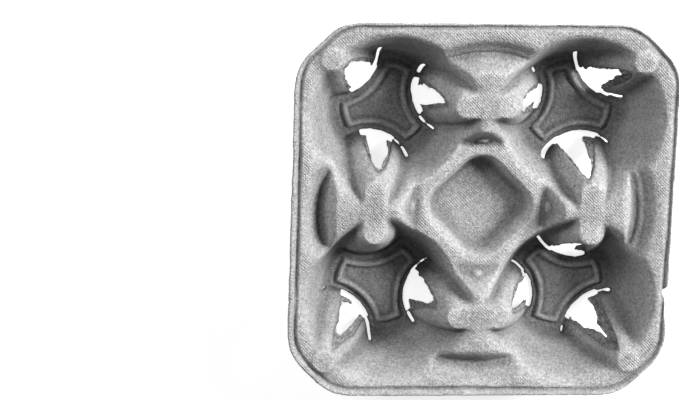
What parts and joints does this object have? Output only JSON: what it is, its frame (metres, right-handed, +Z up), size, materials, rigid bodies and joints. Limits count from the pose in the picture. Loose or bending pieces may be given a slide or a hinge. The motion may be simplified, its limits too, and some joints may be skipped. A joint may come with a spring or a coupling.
{
  "type": "cup carrier tray",
  "caption": "Square moulded pulp tray with sloping pockets for drinks cups, gripping fingers with tongue openings, and a flat rim.",
  "frame": {"origin": "middle of the tray in plan, at the height of the surface that the pocket floors stand on", "axes": "+Z up out of the pockets, +X to the right and +Y to the back along the tray's straight sides"},
  "size_m": [0.216, 0.216, 0.0445],
  "materials": {
    "pulp": "matte"
  },
  "bodies": {
    "root": {"cup_carrier": "pulp"}
  },
  "joints": []
}
